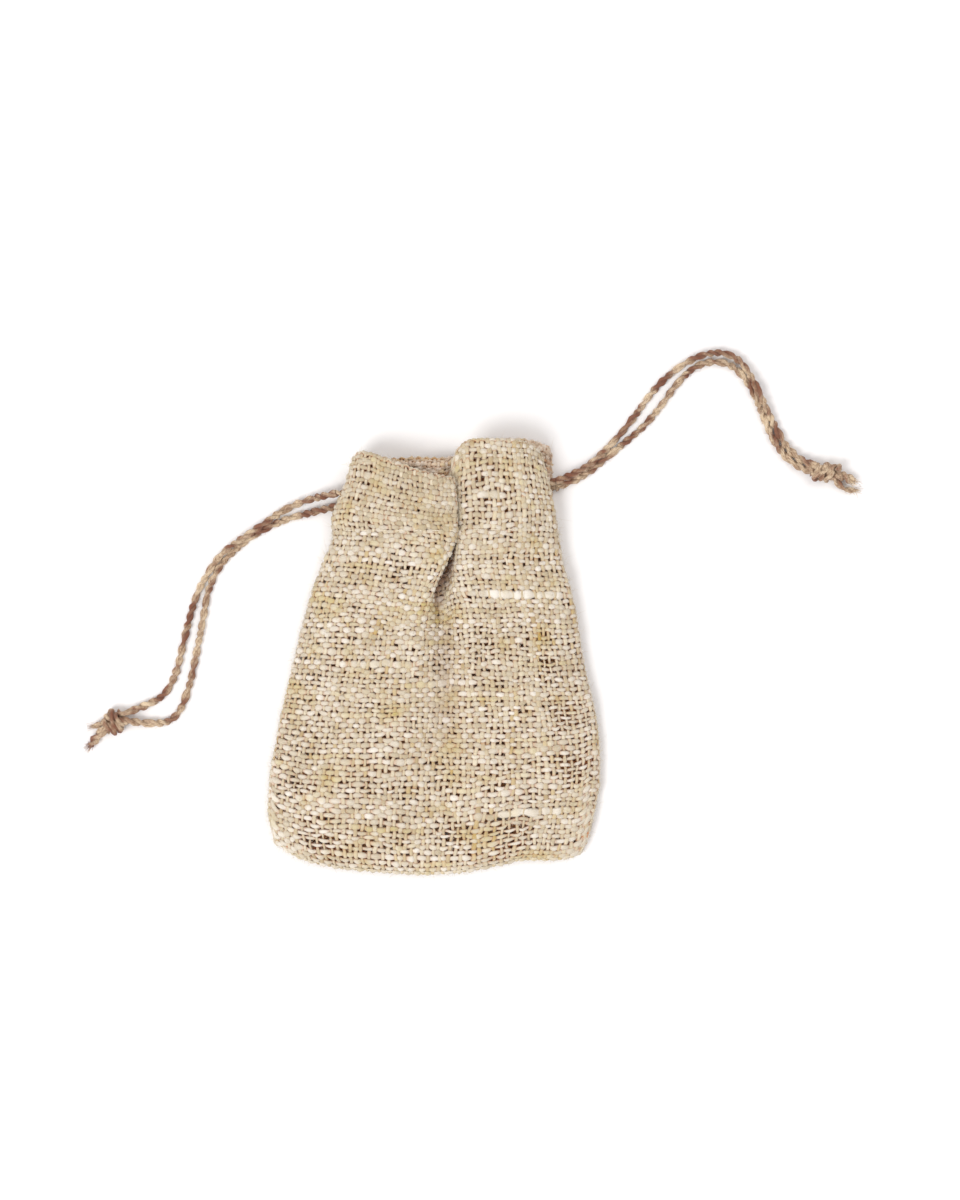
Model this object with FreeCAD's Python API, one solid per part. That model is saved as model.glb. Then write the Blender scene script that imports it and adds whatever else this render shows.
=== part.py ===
import FreeCAD, Part
import math
import os

# Small burlap drawstring pouch, lying on its back with its mouth towards +Y.
# +X is the right-hand side as it lies, +Z is up from the table, all in millimetres.
# The origin is on the table, under the middle of the bag without its cords.

# Cloth, cord and thread
CLOTH = 0.8
CORD_D = 2.0
CORD_R = CORD_D / 2
THREAD_D = 0.5
STITCH_SHARE = 0.6
CLEAR = 0.25

# Heights of the front cloth above the table
EDGE_BODY = 3.0
EDGE_MOUTH = 8.0
CROWN_HEM = 3.4
CROWN_BODY = 10.6
CROWN_MOUTH = 16.0
VALLEY_DEPTH = 2.6
VALLEY_WIDTH = 5.5
LOBE_RISE = 1.6
LOBE_WIDTH = 7.0
VALLEY_X_MOUTH = 8.0
VALLEY_X_FOOT = 0.0

# Turned-down casing round the mouth
CASING_FOOT_Y = 42.0
STITCH_Y = 43.4
CHANNEL_Y = (48.6, 61.6)
CHANNEL_RAMP = 4.5
FRONT_CASING_Z = 10.0
FRONT_CASING_FALL = 14.0
CASING_X = (-19.0, 28.0)
BACK_CHANNEL = 2.8
CHANNEL_STITCH_PITCH = 4.2

# Seam allowance turned inside
ALLOWANCE_WIDTH = 5.5
ALLOWANCE_THICK = 1.2
ALLOWANCE_TOP_Y = 42.0
BOTTOM_ALLOWANCE_Y = -58.0
SEAM_STITCH_PITCH = 5.0

# Side slits of the casing, where the cords come out
SLIT_Z = (CLOTH, 7.3)
LEFT_SLIT_Y = (48.6, 57.4)
RIGHT_SLIT_Y = (54.6, 61.6)

# Sides and bottom of the bag, from the left end of the mouth round to the right end
SIDES = [
    (-28.2, 61.2),
    (-32.4, 51.9),
    (-34.4, 43.0),
    (-39.3, 27.8),
    (-45.7, 6.0),
    (-51.0, -15.7),
    (-54.8, -42.0),
    (-55.0, -57.5),
    (-49.6, -65.4),
    (-35.3, -70.4),
    (-15.0, -72.4),
    (6.0, -72.2),
    (28.3, -69.2),
    (43.0, -67.4),
    (50.8, -61.5),
    (54.4, -48.0),
    (55.4, -34.0),
    (52.4, -14.1),
    (48.7, 2.7),
    (46.0, 19.4),
    (42.3, 32.8),
    (39.6, 50.0),
    (38.4, 61.0),
]

# Mouth edge of the front cloth: the right lobe, the valley, then the slanting left lobe
FRONT_MOUTH = [
    (38.2, 66.5),
    (36.4, 70.4),
    (31.6, 72.3),
    (15.0, 72.3),
    (9.9, 70.3),
    (7.5, 63.0),
    (5.5, 60.4),
    (-5.2, 62.2),
    (-16.9, 66.6),
    (-24.6, 68.4),
    (-27.8, 66.3),
]

# Mouth edge of the back cloth, which shows between the lobes and past the right corner
BACK_MOUTH = [
    (38.6, 69.6),
    (20.0, 70.6),
    (0.0, 67.0),
    (-20.0, 65.6),
    (-26.8, 64.4),
]

# Routes of the cords as (x, y, z): outside each exit, down to the table and out to the knot
LEFT_UPPER = [
    (-33.0, 54.9, 5.0),
    (-41.0, 53.5, 2.6),
    (-49.8, 50.0, 1.7),
    (-56.4, 45.4, 3.0),
    (-63.6, 40.4, 3.2),
    (-70.6, 35.8, 3.1),
    (-75.4, 29.6, 1.8),
    (-79.7, 21.9, 1.1),
    (-82.3, 13.0, 1.1),
    (-84.6, 3.4, 1.1),
    (-86.7, -5.6, 1.1),
    (-90.6, -12.8, 1.1),
    (-97.4, -16.2, 1.8),
    (-105.6, -19.2, 3.1),
]
LEFT_LOWER = [
    (-33.0, 50.7, 2.2),
    (-41.6, 48.6, 1.5),
    (-50.8, 46.2, 1.1),
    (-58.9, 42.2, 1.1),
    (-66.6, 36.8, 1.1),
    (-72.6, 30.4, 1.1),
    (-76.2, 22.4, 1.1),
    (-77.6, 12.0, 1.1),
    (-79.5, 1.6, 1.1),
    (-81.6, -8.0, 1.1),
    (-85.8, -16.3, 1.1),
    (-94.2, -20.4, 1.6),
    (-104.9, -21.3, 3.1),
]
RIGHT_UPPER = [
    (40.0, 58.9, 5.0),
    (46.6, 61.2, 4.1),
    (53.2, 65.8, 3.0),
    (59.6, 72.2, 1.2),
    (66.2, 80.1, 1.1),
    (72.4, 89.0, 1.1),
    (79.2, 95.8, 1.7),
    (87.6, 100.9, 2.4),
    (95.4, 102.4, 1.7),
    (101.6, 99.9, 1.6),
    (106.0, 93.0, 2.8),
    (109.6, 85.2, 2.6),
    (113.6, 77.6, 1.2),
    (118.0, 69.8, 1.3),
    (123.4, 65.0, 2.4),
    (129.2, 63.4, 3.1),
]
RIGHT_LOWER = [
    (40.0, 56.9, 2.2),
    (47.0, 59.2, 1.6),
    (54.0, 64.2, 1.1),
    (61.6, 70.6, 1.1),
    (69.6, 77.2, 1.1),
    (75.6, 84.4, 1.1),
    (80.8, 92.0, 1.1),
    (87.2, 98.0, 1.1),
    (94.6, 99.4, 1.1),
    (101.0, 96.7, 1.1),
    (105.6, 90.4, 1.1),
    (109.4, 82.2, 1.1),
    (111.6, 73.0, 1.1),
    (116.6, 66.2, 1.1),
    (122.6, 62.4, 1.8),
    (128.8, 61.3, 3.1),
]

# Hidden loops: through the front channel, round the far side, back through the back channel
LEFT_LOOP = [
    (-33.0, 54.9, 5.0),
    (-28.0, 55.775, 6.5),
    (-18.6, 55.2, 11.2),
    (-3.0, 54.8, 11.35),
    (13.0, 55.0, 11.3),
    (27.6, 54.3, 11.1),
    (36.2, 53.2, 6.6),
    (35.6, 51.8, 2.3),
    (27.0, 50.9, 2.2),
    (12.0, 51.2, 2.2),
    (-4.0, 50.9, 2.2),
    (-19.0, 51.1, 2.2),
    (-27.84, 51.96, 2.62),
    (-33.0, 50.7, 2.2),
]
RIGHT_LOOP = [
    (40.0, 58.9, 5.0),
    (35.38, 57.29, 5.63),
    (26.0, 58.9, 11.2),
    (12.0, 59.2, 11.35),
    (-2.0, 58.9, 11.3),
    (-18.4, 59.1, 11.1),
    (-26.2, 58.7, 6.6),
    (-25.4, 57.5, 2.3),
    (-17.0, 56.5, 2.2),
    (-2.0, 56.8, 2.2),
    (12.0, 56.5, 2.2),
    (26.0, 56.4, 2.3),
    (35.1, 55.29, 2.62),
    (40.0, 56.9, 2.2),
]

# Knots and frayed tails
KNOT_RING_R = 1.95
KNOT_TUBE_R = 1.1
KNOT_PITCH = 1.9
KNOT_TURNS = 3
KNOT_Z = KNOT_RING_R + KNOT_TUBE_R + 0.05
LEFT_KNOT = (-107.4, -20.8, KNOT_Z)
LEFT_KNOT_TOWARDS = (-1.0, -0.28, 0.0)
RIGHT_KNOT = (131.0, 62.2, KNOT_Z)
RIGHT_KNOT_TOWARDS = (1.0, -0.10, 0.0)
LEFT_TAILS = {
    "left_long_tail": ((-109.4, -22.8, 2.6), (-115.8, -29.6, 1.5)),
    "left_short_tail": ((-109.9, -20.4, 2.9), (-115.4, -23.2, 1.5)),
}
RIGHT_TAILS = {
    "right_long_tail": ((133.2, 61.0, 2.7), (140.6, 58.4, 1.5)),
    "right_short_tail": ((133.5, 63.2, 2.9), (139.2, 62.0, 1.5)),
}
TAIL_ROOT_R = 1.0
TAIL_TIP_R = 1.45

# Grids of points that the curved surfaces pass through: first, step and count in x, then in y
PANEL_GRID = (-62.0, 4.0, 32, -80.0, 4.0, 40)
CASING_GRID = (-38.0, 3.0, 30, 34.0, 2.0, 25)
HIGH = 40.0


def step(value, low, high):
    """A smooth climb from 0 at low to 1 at high."""
    t = min(1.0, max(0.0, (value - low) / (high - low)))
    return t * t * (3 - 2 * t)


def bump(distance, width):
    """A bell of height 1, falling to a third at the given width."""
    return math.exp(-((distance / width) ** 2))


def across(x, y):
    """Where x lies across the bag at y: -1 on the left edge, +1 on the right."""
    middle = 1.1 + 0.048 * y
    half = 48.2 - 0.222 * y - 0.0012 * y**2 + 0.000019 * y**3
    return max(-1.0, min(1.0, (x - middle) / half))


def front_height(x, y):
    """Top of the front cloth: a flat dome, with a valley between two lobes at the mouth."""
    mouth = step(y, 26.0, 50.0)
    edge = EDGE_BODY + (EDGE_MOUTH - EDGE_BODY) * mouth
    crown = CROWN_HEM + (CROWN_BODY - CROWN_HEM) * step(y, -75.0, -46.0)
    crown = crown + (CROWN_MOUTH - CROWN_BODY) * mouth
    fold = step(y, 14.0, 46.0)
    valley_x = VALLEY_X_FOOT + (VALLEY_X_MOUTH - VALLEY_X_FOOT) * fold
    lobes = bump(x - valley_x + 9.0, LOBE_WIDTH) + 0.7 * bump(x - valley_x - 9.0, LOBE_WIDTH)
    rise = LOBE_RISE * lobes - VALLEY_DEPTH * bump(x - valley_x, VALLEY_WIDTH)
    return edge + (crown - edge) * (1 - across(x, y) ** 4) + fold * rise


def casing_height(x, y):
    """Top of the front casing: level over the mouth, rising to the cloth at its two rows."""
    level = FRONT_CASING_Z - FRONT_CASING_FALL * across(x, y) ** 6
    inside = step(y, CHANNEL_Y[0] - CHANNEL_RAMP, CHANNEL_Y[0])
    inside = inside * (1 - step(y, CHANNEL_Y[1], CHANNEL_Y[1] + CHANNEL_RAMP))
    joined = front_height(x, y) - CLOTH - CLEAR
    return joined + (level - joined) * inside


def inset(points, depth):
    """The same open outline moved inwards by depth, on the left of its direction."""
    moved = []
    for i, point in enumerate(points):
        before = points[max(0, i - 1)]
        after = points[min(len(points) - 1, i + 1)]
        dx, dy = after[0] - before[0], after[1] - before[1]
        length = math.hypot(dx, dy)
        moved.append((point[0] - dy / length * depth, point[1] + dx / length * depth))
    return moved


def outline_prism(sides, mouth, low, high):
    """A prism over the outline: one smooth curve round the sides, straight runs at the mouth."""
    curve = Part.BSplineCurve()
    corners = [FreeCAD.Vector(x, y, low) for x, y in sides]
    curve.interpolate(corners)
    rim = [corners[-1]] + [FreeCAD.Vector(x, y, low) for x, y in mouth] + [corners[0]]
    edges = [curve.toShape()]
    for a, b in zip(rim, rim[1:]):
        edges.append(Part.LineSegment(a, b).toShape())
    face = Part.Face(Part.Wire(edges))
    return face.extrude(FreeCAD.Vector(0, 0, high - low))


def under(height, grid):
    """Everything below a curved surface of the given height, down to well under the table."""
    x0, dx, columns, y0, dy, rows = grid
    heights = []
    for i in range(columns):
        heights.append([height(x0 + i * dx, y0 + j * dy) for j in range(rows)])
    surface = Part.BSplineSurface()
    surface.interpolate(heights, x0, dx, y0, dy)
    return surface.toShape().extrude(FreeCAD.Vector(0, 0, -HIGH))


def dropped(shape, depth):
    """A copy of the shape, moved down."""
    copy = shape.copy()
    copy.translate(FreeCAD.Vector(0, 0, -depth))
    return copy


def box(x0, x1, y0, y1, z0, z1):
    """A box between two corners."""
    return Part.makeBox(x1 - x0, y1 - y0, z1 - z0, FreeCAD.Vector(x0, y0, z0))


def side_slits():
    """Room for the cords through the side walls of the casing."""
    left = box(-42.0, -22.0, LEFT_SLIT_Y[0], LEFT_SLIT_Y[1], SLIT_Z[0] - CLOTH, SLIT_Z[1])
    right = box(30.0, 48.0, RIGHT_SLIT_Y[0], RIGHT_SLIT_Y[1], SLIT_Z[0] - CLOTH, SLIT_Z[1])
    return [left, right]


def front_panel(top):
    """The domed front cloth with its side walls, open underneath and at the mouth."""
    outer = outline_prism(SIDES, FRONT_MOUTH, CLOTH, HIGH).common(top)
    lifted = [(x, y + 8.0) for x, y in FRONT_MOUTH]
    inner = outline_prism(inset(SIDES, CLOTH), lifted, 0.0, HIGH).common(dropped(top, CLOTH))
    panel = outer.cut(inner)
    for slit in side_slits():
        panel = panel.cut(slit)
    return panel


def back_panel():
    """The flat back cloth that lies on the table."""
    return outline_prism(SIDES, BACK_MOUTH, 0.0, CLOTH)


def front_casing():
    """The front cloth's hem turned down inside, with the front cord channel above it."""
    top = under(casing_height, CASING_GRID)
    strip = top.cut(dropped(top, CLOTH))
    window = box(*CASING_X, CASING_FOOT_Y, 80.0, 0.0, HIGH)
    mouth = [(x, y - CLOTH) for x, y in FRONT_MOUTH]
    return strip.common(window).common(outline_prism(SIDES, mouth, 0.0, HIGH))


def back_casing():
    """The back cloth's hem turned up inside, raised over the back cord channel."""
    low = CLOTH + CLEAR
    high = CLOTH + BACK_CHANNEL
    profile = [
        (CASING_FOOT_Y, low),
        (CHANNEL_Y[0] - CHANNEL_RAMP, low),
        (CHANNEL_Y[0], high),
        (CHANNEL_Y[1], high),
        (CHANNEL_Y[1] + CHANNEL_RAMP, low),
        (74.0, low),
    ]
    raised = [(y, z + CLOTH) for y, z in reversed(profile)]
    loop = profile + raised + profile[:1]
    wire = Part.makePolygon([FreeCAD.Vector(CASING_X[0], y, z) for y, z in loop])
    strip = Part.Face(wire).extrude(FreeCAD.Vector(CASING_X[1] - CASING_X[0], 0, 0))
    mouth = [(x, y - CLOTH) for x, y in BACK_MOUTH]
    return strip.common(outline_prism(SIDES, mouth, 0.0, HIGH))


def seam_allowances():
    """The sewn edges of both cloths, turned inside along the left, right and bottom."""
    low = CLOTH
    high = CLOTH + ALLOWANCE_THICK
    rim = [(30.0, 60.0), (-20.0, 60.0)]
    outer = outline_prism(inset(SIDES, CLOTH + CLEAR), rim, low, high)
    inner = outline_prism(inset(SIDES, CLOTH + ALLOWANCE_WIDTH), rim, low - 1, high + 1)
    band = outer.cut(inner)
    side = (BOTTOM_ALLOWANCE_Y + CLEAR, ALLOWANCE_TOP_Y, 0.0, HIGH)
    return {
        "left_seam_allowance": band.common(box(-70.0, 0.0, *side)),
        "right_seam_allowance": band.common(box(0.0, 70.0, *side)),
        "bottom_seam_allowance": band.common(box(-70.0, 70.0, -90.0, BOTTOM_ALLOWANCE_Y, 0, HIGH)),
    }


def rod(start, end, diameter):
    """A straight round rod between two points."""
    a, b = FreeCAD.Vector(*start), FreeCAD.Vector(*end)
    return Part.makeCylinder(diameter / 2, (b - a).Length, a, b - a)


def staple(start, end, depth):
    """One stitch: a bar of thread on the cloth and the leg that goes through it."""
    leg = (start[0], start[1], start[2] - depth)
    return rod(start, end, THREAD_D).fuse(rod(start, leg, THREAD_D)).removeSplitter()


def casing_stitches(height):
    """A row of running stitches that holds a casing's foot to the cloth."""
    stitches = []
    x = CASING_X[0] + CHANNEL_STITCH_PITCH / 2
    while x < CASING_X[1] - CHANNEL_STITCH_PITCH:
        end = x + CHANNEL_STITCH_PITCH * STITCH_SHARE
        bar = (x, STITCH_Y, height(x, STITCH_Y)), (end, STITCH_Y, height(end, STITCH_Y))
        stitches.append(staple(*bar, 2 * CLOTH))
        x += CHANNEL_STITCH_PITCH
    return Part.makeCompound(stitches)


def seam_stitches(inside):
    """A row of stitches along the middle of a turned-in seam allowance."""
    curve = Part.BSplineCurve()
    level = CLOTH + ALLOWANCE_THICK
    middle = inset(SIDES, CLOTH + ALLOWANCE_WIDTH / 2)
    curve.interpolate([FreeCAD.Vector(x, y, level) for x, y in middle])
    edge = curve.toShape()
    count = int(edge.Length / SEAM_STITCH_PITCH)
    stitches = []
    for i in range(count):
        start = edge.valueAt(edge.getParameterByLength(i * SEAM_STITCH_PITCH))
        end = edge.valueAt(edge.getParameterByLength((i + STITCH_SHARE) * SEAM_STITCH_PITCH))
        if inside(start) and inside(end):
            stitches.append(staple(tuple(start), tuple(end), ALLOWANCE_THICK * 0.8))
    return Part.makeCompound(stitches)


def cord_path(name, route):
    """Straight runs joined by tangent arcs, each as large as its two runs allow."""
    points = [FreeCAD.Vector(*p) for p in route]
    edges, radii = [], []
    here = points[0]
    for before, corner, after in zip(points, points[1:], points[2:]):
        arriving, leaving = corner - before, after - corner
        turn = arriving.getAngle(leaving)
        reach = 0.45 * min(arriving.Length, leaving.Length)
        radii.append(reach / math.tan(turn / 2))
        start = corner - arriving.normalize() * reach
        end = corner + leaving.normalize() * reach
        towards = (end - start).normalize()
        inner = (leaving - arriving).normalize()
        middle = corner + inner * (radii[-1] / math.cos(turn / 2) - radii[-1])
        edges.append(Part.LineSegment(here, start).toShape())
        edges.append(Part.Arc(start, middle, end).toShape())
        here = end
    edges.append(Part.LineSegment(here, points[-1]).toShape())
    wire = Part.Wire(edges)
    print(f"{name}: {wire.Length:.1f} mm, smallest radius {min(radii):.1f} mm")
    return wire


def cord(name, route):
    """A round cord along its route."""
    wire = cord_path(name, route)
    start, onward = FreeCAD.Vector(*route[0]), FreeCAD.Vector(*route[1])
    section = Part.Wire(Part.makeCircle(CORD_R, start, onward - start))
    tube = wire.makePipeShell([section], True, False)
    ratio = tube.Volume / (math.pi * CORD_R**2 * wire.Length)
    print(f"{name}: volume over section times length {ratio:.4f}, lowest {tube.optimalBoundingBox().ZMin:.2f}")
    return tube


def knot(centre, towards):
    """An overhand knot drawn tight: turns of cord side by side round the strands."""
    axis = FreeCAD.Vector(*towards).normalize()
    middle = FreeCAD.Vector(*centre)
    half = KNOT_PITCH * (KNOT_TURNS - 1) / 2
    core = Part.makeCylinder(KNOT_RING_R, 2 * half, middle - axis * half, axis)
    for turn in range(KNOT_TURNS):
        at = middle + axis * (turn * KNOT_PITCH - half)
        core = core.fuse(Part.makeTorus(KNOT_RING_R, KNOT_TUBE_R, at, axis))
    return core.removeSplitter()


def tail(root, tip):
    """A cord end that frays wider towards its tip."""
    a, b = FreeCAD.Vector(*root), FreeCAD.Vector(*tip)
    return Part.makeCone(TAIL_ROOT_R, TAIL_TIP_R, (b - a).Length, a, b - a)


def build():
    """Every node of the pouch, by name."""
    top = under(front_height, PANEL_GRID)
    nodes = {
        "front_panel": front_panel(top),
        "back_panel": back_panel(),
        "front_casing": front_casing(),
        "back_casing": back_casing(),
        "front_casing_stitch": casing_stitches(front_height),
        "back_casing_stitch": casing_stitches(lambda x, y: 2 * CLOTH + CLEAR),
        "left_seam_stitch": seam_stitches(
            lambda p: p.x < 0 and BOTTOM_ALLOWANCE_Y + 1 < p.y < ALLOWANCE_TOP_Y - 1
        ),
        "right_seam_stitch": seam_stitches(
            lambda p: p.x > 0 and BOTTOM_ALLOWANCE_Y + 1 < p.y < ALLOWANCE_TOP_Y - 1
        ),
        "bottom_seam_stitch": seam_stitches(lambda p: p.y < BOTTOM_ALLOWANCE_Y - 1),
        "left_upper_strand": cord("left_upper_strand", LEFT_UPPER),
        "left_lower_strand": cord("left_lower_strand", LEFT_LOWER),
        "right_upper_strand": cord("right_upper_strand", RIGHT_UPPER),
        "right_lower_strand": cord("right_lower_strand", RIGHT_LOWER),
        "left_cord_loop": cord("left_cord_loop", LEFT_LOOP),
        "right_cord_loop": cord("right_cord_loop", RIGHT_LOOP),
        "left_knot": knot(LEFT_KNOT, LEFT_KNOT_TOWARDS),
        "right_knot": knot(RIGHT_KNOT, RIGHT_KNOT_TOWARDS),
    }
    nodes.update(seam_allowances())
    for name, (root, tip) in {**LEFT_TAILS, **RIGHT_TAILS}.items():
        nodes[name] = tail(root, tip)
    return nodes


os.makedirs("parts", exist_ok=True)
for name, shape in build().items():
    shape.exportStep(f"parts/{name}.step")
    size = shape.optimalBoundingBox()
    print(f"{name}: {shape.Volume:.0f} mm3, valid {shape.isValid()}, z {size.ZMin:.2f}..{size.ZMax:.2f}")
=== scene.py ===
import bpy
import numpy as np
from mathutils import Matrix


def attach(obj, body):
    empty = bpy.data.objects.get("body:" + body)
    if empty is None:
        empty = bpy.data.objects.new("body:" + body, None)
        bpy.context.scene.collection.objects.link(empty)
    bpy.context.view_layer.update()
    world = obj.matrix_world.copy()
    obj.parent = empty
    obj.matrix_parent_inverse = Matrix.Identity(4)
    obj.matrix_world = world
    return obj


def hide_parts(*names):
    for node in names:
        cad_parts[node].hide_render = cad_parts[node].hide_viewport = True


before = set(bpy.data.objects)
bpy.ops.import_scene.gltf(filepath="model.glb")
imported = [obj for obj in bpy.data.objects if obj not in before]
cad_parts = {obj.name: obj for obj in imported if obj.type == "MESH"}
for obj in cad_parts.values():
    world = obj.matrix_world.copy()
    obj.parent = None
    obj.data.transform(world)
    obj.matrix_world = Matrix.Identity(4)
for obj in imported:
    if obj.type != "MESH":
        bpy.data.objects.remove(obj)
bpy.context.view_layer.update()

MM = 0.001

# ---------------------------------------------------------------------------------------------
# The table and the camera. The pouch lies on its back on a plain white table and is looked at
# from straight above, through a long lens.

CAMERA_OVER = (14.9 * MM, 19.4 * MM, 948.0 * MM)
LENS_MM = 85.0
SENSOR_MM = 36.0
TABLE_SIZE = 6.0
TABLE_WHITE = (0.93, 0.93, 0.93, 1.0)

camera_data = bpy.data.cameras.new("camera")
camera_data.lens = LENS_MM
camera_data.sensor_width = SENSOR_MM
camera = bpy.data.objects.new("camera", camera_data)
camera.location = CAMERA_OVER
bpy.context.scene.collection.objects.link(camera)
bpy.context.scene.camera = camera


def mesh_object(name, points, faces):
    """An object at the origin from an array of points and an array of four-cornered faces."""
    mesh = bpy.data.meshes.new(name)
    mesh.from_pydata(np.asarray(points).reshape(-1, 3), [], faces)
    mesh.polygons.foreach_set("use_smooth", np.full(len(mesh.polygons), True))
    obj = bpy.data.objects.new(name, mesh)
    bpy.context.scene.collection.objects.link(obj)
    return obj


class Value:
    """A number in a material; sums and products with it add Math nodes."""

    def __init__(self, finish, socket):
        self.finish, self.socket = finish, socket

    def maths(self, operation, a, b):
        node = self.finish.add("ShaderNodeMath", {"operation": operation}, {0: a, 1: b})
        return Value(self.finish, node.outputs[0])

    def __add__(self, other):
        return self.maths("ADD", self, other)

    def __mul__(self, other):
        return self.maths("MULTIPLY", self, other)

    def __sub__(self, other):
        return self.maths("SUBTRACT", self, other)

    def __rsub__(self, other):
        return self.maths("SUBTRACT", other, self)

    __radd__, __rmul__ = __add__, __mul__


class Finish:
    """A material being built up node by node."""

    def __init__(self, name, roughness=0.9, sheen=0.0):
        self.material = bpy.data.materials.new(name)
        self.material.use_nodes = True
        self.tree = self.material.node_tree
        self.shader = self.tree.nodes["Principled BSDF"]
        self.shader.inputs["Roughness"].default_value = roughness
        self.shader.inputs["Specular IOR Level"].default_value = 0.25
        self.shader.inputs["Sheen Weight"].default_value = sheen
        self.shader.inputs["Sheen Roughness"].default_value = 0.6

    def add(self, kind, settings, inputs):
        """A node of this kind, its settings made first, then its inputs given or linked."""
        node = self.tree.nodes.new(kind)
        for name, value in settings.items():
            setattr(node, name, value)
        for name, value in inputs.items():
            self.feed(node.inputs[name], value)
        return node

    def feed(self, socket, value):
        """Give a socket a plain value, or link it to another."""
        if isinstance(value, Value):
            value = value.socket
        if isinstance(value, bpy.types.NodeSocket):
            self.tree.links.new(value, socket)
        else:
            socket.default_value = value

    def attribute(self, name):
        """A number that the mesh carries at each point."""
        return Value(self, self.add("ShaderNodeAttribute", {"attribute_name": name}, {}).outputs["Fac"])

    def noise(self, where, scale, detail=2.0, roughness=0.5):
        """Cloudy noise over a place, as a number about one half."""
        inputs = {"Vector": where, "Scale": scale, "Detail": detail, "Roughness": roughness}
        return Value(self, self.add("ShaderNodeTexNoise", {}, inputs).outputs["Fac"])

    def between(self, value, low, high):
        """0 below low, 1 above high, and a straight climb between."""
        inputs = {"Value": value, "From Min": low, "From Max": high}
        return Value(self, self.add("ShaderNodeMapRange", {}, inputs).outputs["Result"])

    def mix(self, share, a, b):
        """Colour a turning into colour b."""
        node = self.add("ShaderNodeMix", {"data_type": "RGBA"}, {0: share, 6: a, 7: b})
        return node.outputs[2]


def rgb(code):
    """A colour written as six hex digits, in linear light."""
    parts = np.array([int(code[i : i + 2], 16) for i in (0, 2, 4)]) / 255
    linear = np.where(parts < 0.04045, parts / 12.92, ((parts + 0.055) / 1.055) ** 2.4)
    return (*linear.tolist(), 1.0)


corners = np.array([(-1, -1, 0), (1, -1, 0), (1, 1, 0), (-1, 1, 0)]) * TABLE_SIZE / 2
table = mesh_object("table", corners, [[0, 1, 2, 3]])
table_finish = Finish("table white", roughness=0.7)
table_finish.feed(table_finish.shader.inputs["Base Color"], TABLE_WHITE)
table.data.materials.append(table_finish.material)

# ---------------------------------------------------------------------------------------------
# The drawstrings. Each is jute cord of two plies twisted together, one pale and one stained
# brown in places. Both ends come out of one side slit, lie on the table and are knotted together.

CORD_D = 2.0 * MM
PLY_R = 0.67 * MM
PLY_OUT = 0.56 * MM
TWIST = 7.2 * MM
RING_GAP = 0.30 * MM
PLY_SIDES = 14
HAIR_R = 0.045 * MM
HAIR_LONG = 1.5 * MM
HAIRS_PER_MM = 2.6
BRUSH_LONG = 4.6 * MM
TABLE_CLEAR = 0.05 * MM
CORD_PALE = rgb("EFD9B8")
CORD_TAN = rgb("8E6244")
CORD_BROWN = rgb("7E442C")

ROUTES = {
    "left_upper_strand": [
        (-33.0, 54.9, 5.0), (-41.0, 53.5, 2.6), (-49.8, 50.0, 1.7), (-56.4, 45.4, 3.0),
        (-63.6, 40.4, 3.2), (-70.6, 35.8, 3.1), (-75.4, 29.6, 1.8), (-79.7, 21.9, 1.1),
        (-82.3, 13.0, 1.1), (-84.6, 3.4, 1.1), (-86.7, -5.6, 1.1), (-90.6, -12.8, 1.1),
        (-97.4, -16.2, 1.8), (-105.6, -19.2, 3.1),
    ],
    "left_lower_strand": [
        (-33.0, 50.7, 2.2), (-41.6, 48.6, 1.5), (-50.8, 46.2, 1.1), (-58.9, 42.2, 1.1),
        (-66.6, 36.8, 1.1), (-72.6, 30.4, 1.1), (-76.2, 22.4, 1.1), (-77.8, 12.0, 1.1),
        (-79.9, 1.6, 1.1), (-82.4, -10.6, 1.1), (-86.6, -20.6, 1.1), (-94.6, -22.4, 1.6),
        (-104.6, -20.6, 3.1),
    ],
    "right_upper_strand": [
        (40.0, 58.9, 5.0), (46.6, 61.2, 4.1), (53.2, 65.8, 3.0), (59.6, 72.2, 1.2),
        (66.2, 80.1, 1.1), (72.4, 89.0, 1.1), (79.2, 95.8, 1.7), (87.6, 100.9, 2.4),
        (95.4, 102.4, 1.7), (101.6, 99.9, 1.6), (106.0, 93.0, 2.8), (109.6, 85.2, 2.6),
        (113.3, 77.4, 1.2), (117.8, 69.5, 1.3), (123.4, 65.0, 2.4), (129.2, 63.4, 3.1),
    ],
    "right_lower_strand": [
        (40.0, 56.9, 2.2), (47.0, 59.2, 1.6), (54.0, 64.2, 1.1), (61.6, 70.6, 1.1),
        (69.6, 77.2, 1.1), (75.6, 84.4, 1.1), (80.8, 92.0, 1.1), (87.2, 98.0, 1.1),
        (94.6, 99.4, 1.1), (101.0, 96.7, 1.1), (105.6, 90.4, 1.1), (109.0, 82.6, 1.1),
        (112.2, 73.8, 1.1), (117.2, 66.8, 1.1), (122.8, 62.9, 1.8), (128.8, 61.5, 3.1),
    ],
}


def spline_points(name, route):
    """Points along the smooth NURBS line that has the route as its control points."""
    data = bpy.data.curves.new(name + " line", "CURVE")
    data.dimensions = "3D"
    data.resolution_u = 16
    spline = data.splines.new("NURBS")
    spline.points.add(len(route) - 1)
    for point, place in zip(spline.points, route):
        point.co = (*[value * MM for value in place], 1.0)
    spline.order_u = 3
    spline.use_endpoint_u = True
    holder = bpy.data.objects.new(name + " line", data)
    line = bpy.data.meshes.new_from_object(holder)
    places = np.empty(len(line.vertices) * 3)
    line.vertices.foreach_get("co", places)
    bpy.data.objects.remove(holder)
    bpy.data.meshes.remove(line)
    return places.reshape(-1, 3)


def evenly(points, gap):
    """The same line with points an even distance apart."""
    along = np.concatenate([[0], np.cumsum(np.linalg.norm(np.diff(points, axis=0), axis=1))])
    wanted = np.linspace(0, along[-1], max(4, int(along[-1] / gap)) + 1)
    return np.stack([np.interp(wanted, along, points[:, i]) for i in range(3)], axis=1), wanted


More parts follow.
